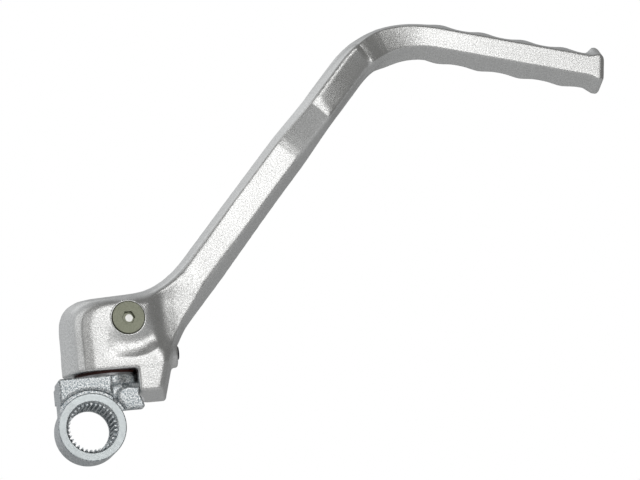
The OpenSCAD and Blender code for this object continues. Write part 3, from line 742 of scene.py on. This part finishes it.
# %% Geometry Nodes tree of the broach
CORNERS_PER_TOOTH = 4
MIDDLE_CORNER = (CORNERS_PER_TOOTH - 1) / 2
FIRST_CORNER, CORNER_STEP, ROOT_STEP = 0.14, 0.22, 0.06
broach_tree, b_in, b_out = geometry_tree("broach", [
    ("Teeth", "NodeSocketInt", 33), ("Tip Radius", "NodeSocketFloat", 0.0087),
    ("Root Radius", "NodeSocketFloat", 0.01), ("Length", "NodeSocketFloat", 0.02),
    ("Material", "NodeSocketMaterial", None)])
corner_count = math_node(broach_tree, "MULTIPLY", b_in.outputs["Teeth"], CORNERS_PER_TOOTH)
circle = broach_tree.nodes.new("GeometryNodeMeshCircle")
circle.fill_type = "NGON"
broach_tree.links.new(corner_count, circle.inputs["Vertices"])
index = broach_tree.nodes.new("GeometryNodeInputIndex").outputs[0]
tooth = math_node(broach_tree, "FLOOR", math_node(broach_tree, "DIVIDE", index, CORNERS_PER_TOOTH))
place = math_node(broach_tree, "MODULO", index, CORNERS_PER_TOOTH)
past_root = math_node(broach_tree, "GREATER_THAN", place, MIDDLE_CORNER)
share = math_node(broach_tree, "ADD", FIRST_CORNER, math_node(broach_tree, "MULTIPLY", place, CORNER_STEP))
share = math_node(broach_tree, "ADD", share, math_node(broach_tree, "MULTIPLY", past_root, ROOT_STEP))
turns = math_node(broach_tree, "DIVIDE", math_node(broach_tree, "ADD", tooth, share), b_in.outputs["Teeth"])
angle = math_node(broach_tree, "MULTIPLY", turns, 2 * math.pi)
off_middle = math_node(broach_tree, "ABSOLUTE", math_node(broach_tree, "SUBTRACT", place, MIDDLE_CORNER))
at_root = math_node(broach_tree, "LESS_THAN", off_middle, 1.0)
depth = math_node(broach_tree, "SUBTRACT", b_in.outputs["Root Radius"], b_in.outputs["Tip Radius"])
radius = math_node(broach_tree, "ADD", b_in.outputs["Tip Radius"],
                   math_node(broach_tree, "MULTIPLY", depth, at_root))
spot = broach_tree.nodes.new("ShaderNodeCombineXYZ")
for axis_name, function in (("X", "COSINE"), ("Y", "SINE")):
    direction = math_node(broach_tree, function, angle)
    broach_tree.links.new(math_node(broach_tree, "MULTIPLY", direction, radius), spot.inputs[axis_name])
shape = broach_tree.nodes.new("GeometryNodeSetPosition")
broach_tree.links.new(circle.outputs["Mesh"], shape.inputs["Geometry"])
broach_tree.links.new(spot.outputs[0], shape.inputs["Position"])
pull = broach_tree.nodes.new("GeometryNodeExtrudeMesh")
pull.inputs["Individual"].default_value = False
broach_tree.links.new(shape.outputs["Geometry"], pull.inputs["Mesh"])
broach_tree.links.new(b_in.outputs["Length"], pull.inputs["Offset Scale"])
end_cap = broach_tree.nodes.new("GeometryNodeFlipFaces")
broach_tree.links.new(shape.outputs["Geometry"], end_cap.inputs["Mesh"])
both = broach_tree.nodes.new("GeometryNodeJoinGeometry")
broach_tree.links.new(end_cap.outputs["Mesh"], both.inputs["Geometry"])
broach_tree.links.new(pull.outputs["Mesh"], both.inputs["Geometry"])
weld = broach_tree.nodes.new("GeometryNodeMergeByDistance")
weld.inputs["Distance"].default_value = 1e-6
broach_tree.links.new(both.outputs["Geometry"], weld.inputs["Geometry"])
close_tree(broach_tree, weld.outputs["Geometry"], b_in, b_out)

# %% Grow the broach and lay it along the spline's axis
TIP_R = 8.7 * MM
LEAD_IN = 1 * MM
lip_len = mounts["shaft_end_bore"]["dims"]["length_mm"] * MM
broach = grown("broach", broach_tree, Teeth=int(mounts["spline_bore"]["dims"]["count"]), Tip_Radius=TIP_R,
               Root_Radius=spline_root_r, Length=hub_back - hub_front - lip_len + LEAD_IN, Material=plated)
broach.data.transform(Matrix.Translation((0, hub_front - LEAD_IN, 0)) @ Matrix.Rotation(-math.pi / 2, 4, "X"))
broach_mesh = bmesh.new()
broach_mesh.from_mesh(broach.data)
bmesh.ops.recalc_face_normals(broach_mesh, faces=broach_mesh.faces)
broach_mesh.to_mesh(broach.data)
broach_mesh.free()
print("broach:", len(broach.data.vertices), "vertices, box y", min(v.co.y for v in broach.data.vertices))

# %% [markdown]
# ## The cast knuckle
# The same order again: raw casting first, machining after. The hub's ring is turned flat and bright and
# stands above the rough block, with a spot-faced groove around it. The hub's stopper stands proud of the
# ring here, so that the turning cut which ends it leaves a crisp rim. A web between the hub and the stop
# tab is cast in as well.

# %% Stoppers, skin and machining of the knuckle
HUB_R, HAIR = 13.4, 0.001
RING_PROUD, STOPPER_PROUD = 0.95, 1.5
GROOVE_W, GROOVE_DEPTH = 1.5, 1.3
TURNING_HALF = 20 * MM
hub_len = (hub_back - hub_front) / MM
hub_at = Vector((0, hub_front, 0))
knuckle_stoppers = [
    turned("hub_stopper", [(0, -STOPPER_PROUD), (HUB_R, -STOPPER_PROUD), (HUB_R, hub_len + STOPPER_PROUD),
                           (0, hub_len + STOPPER_PROUD)], hub_at, (0, 1, 0)),
    block("tab_web", (8.6 * MM, hub_front + 2.6 * MM, 10.5 * MM), (13.6 * MM, -1 * MM, 18.6 * MM)),
]
knuckle = die_skin("knuckle_casting", [frame["nodes"]["knuckle"], *knuckle_stoppers], voxel_mm=0.4, passes=4)
for stopper in knuckle_stoppers:
    bpy.data.objects.remove(stopper)
far = hub_len + 3
cast_face = RING_PROUD + GROOVE_DEPTH
cut(knuckle, [
    block("front_turning", (-TURNING_HALF, hub_front - 4 * MM, -TURNING_HALF),
          (TURNING_HALF, hub_front, 14 * MM)),
    block("back_turning", (-TURNING_HALF, hub_back, -TURNING_HALF),
          (TURNING_HALF, hub_back + 1.5 * MM, 12.8 * MM)),
    turned("ring_groove", [(HUB_R + HAIR, -1), (HUB_R + GROOVE_W, -1), (HUB_R + GROOVE_W, cast_face - 0.3),
                           (HUB_R + GROOVE_W - 0.3, cast_face), (HUB_R, cast_face), (HUB_R, 0.4),
                           (HUB_R - 0.4, 0), (HUB_R - 0.4, -1), (HUB_R + HAIR, -1)], hub_at, (0, 1, 0)),
    broach,
    turned("end_bore", [(0, -1), (end_bore_r / MM, -1), (end_bore_r / MM, hub_len - 0.4),
                        (end_bore_r / MM + 0.5, hub_len + 0.1), (end_bore_r / MM + 0.5, far), (0, far)],
           hub_at, (0, 1, 0)),
    turned("mouth_chamfer", [(0, -1), (10.35, -1), (10.35, -0.02), (9.4, 0.93), (0, 0.93)],
           hub_at, (0, 1, 0)),
])
finish_piece(knuckle, plated, "knuckle_body", "knuckle", sharp_deg=32)

# %% [markdown]
# ## The retaining screw
# A countersunk screw with a hex socket, seen face on. The head is turned with a softly broken edge, and
# the socket has a small chamfer where the key goes in. It is cut with a six-sided turned tool.

# %% Screw body and socket
HEX_KEY, SOCKET_DEPTH = 4.5, 1.7
SHANK_R = 3
hex_r = HEX_KEY / 2 / math.cos(math.pi / 6)
head_r = screw_head_r / MM
screw_len = (screw_high.y - screw_low.y) / MM
head_face = Vector((screw_at.x, screw_low.y, screw_at.z))
screw = turned("hex_socket_screw", [
    (0, 0), (head_r - 0.5, 0), (head_r - 0.32, 0.08), (head_r, 0.75), (head_r - 0.5, 0.85),
    (SHANK_R + 0.2, head_r - 2.9), (SHANK_R, head_r - 2.6), (SHANK_R, screw_len - 0.8),
    (SHANK_R - 0.8, screw_len), (0, screw_len)], head_face, (0, 1, 0), sides=96)
cut(screw, [
    turned("hex_socket", [(0, -1), (hex_r, -1), (hex_r, SOCKET_DEPTH), (0, SOCKET_DEPTH)],
           head_face, (0, 1, 0), sides=6),
    turned("socket_chamfer", [(0, -1), (hex_r + 0.15, -1), (hex_r + 0.15, -0.02), (hex_r - 0.05, 0.18),
                              (0, 0.18)], head_face, (0, 1, 0), sides=6),
])
finish_piece(screw, screw_finish, "arm_body", "retaining_screw", sharp_deg=18)

# %% [markdown]
# ## The detent's spring and the small parts
# A coil is a curve that follows a rule, so a second tree draws a spiral and sweeps a wire along it. The
# ball, the washer, the seal and the grub screw keep the frame's own solids and get their finishes.

# %% Geometry Nodes tree of the coil
POINTS_PER_TURN, WIRE_SIDES = 24, 10
coil_tree, c_in, c_out = geometry_tree("coil", [
    ("Turns", "NodeSocketFloat", 5.0), ("Mean Radius", "NodeSocketFloat", 0.002),
    ("Wire Radius", "NodeSocketFloat", 0.0004), ("Length", "NodeSocketFloat", 0.007),
    ("Material", "NodeSocketMaterial", None)])
spiral = coil_tree.nodes.new("GeometryNodeCurveSpiral")
spiral.inputs["Resolution"].default_value = POINTS_PER_TURN
coil_tree.links.new(c_in.outputs["Turns"], spiral.inputs["Rotations"])
coil_tree.links.new(c_in.outputs["Mean Radius"], spiral.inputs["Start Radius"])
coil_tree.links.new(c_in.outputs["Mean Radius"], spiral.inputs["End Radius"])
coil_tree.links.new(c_in.outputs["Length"], spiral.inputs["Height"])
wire_section = coil_tree.nodes.new("GeometryNodeCurvePrimitiveCircle")
wire_section.inputs["Resolution"].default_value = WIRE_SIDES
coil_tree.links.new(c_in.outputs["Wire Radius"], wire_section.inputs["Radius"])
sweep = coil_tree.nodes.new("GeometryNodeCurveToMesh")
sweep.inputs["Fill Caps"].default_value = True
coil_tree.links.new(spiral.outputs["Curve"], sweep.inputs["Curve"])
coil_tree.links.new(wire_section.outputs["Curve"], sweep.inputs["Profile Curve"])
close_tree(coil_tree, sweep.outputs["Mesh"], c_in, c_out)

# %% Grow the coil behind the ball
wire_r = 0.4 * MM
coil_low, coil_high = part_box("detent_spring")
coil = grown("detent_coil", coil_tree, Turns=5.0, Mean_Radius=(coil_high.z - coil_low.z) / 2 - wire_r,
             Wire_Radius=wire_r, Length=coil_high.x - coil_low.x - 2 * wire_r, Material=wire_finish)
coil_start = Matrix.Translation((coil_low.x + wire_r, pivot.y, ball.z))
coil.data.transform(coil_start @ Matrix.Rotation(math.pi / 2, 4, "Y"))
finish_piece(coil, wire_finish, "arm_body", "detent_spring", sharp_deg=60)

# %% Finishes of the solids that stay
small_finishes = {"thrust_washer": washer_finish, "pivot_seal": rubber, "detent_ball": ball_finish,
                  "detent_plug": oxide_finish}
for node_name, material in small_finishes.items():
    node_mesh = frame["nodes"][node_name].data
    node_mesh.materials.clear()
    node_mesh.materials.append(material)
print("dressed the small solids")
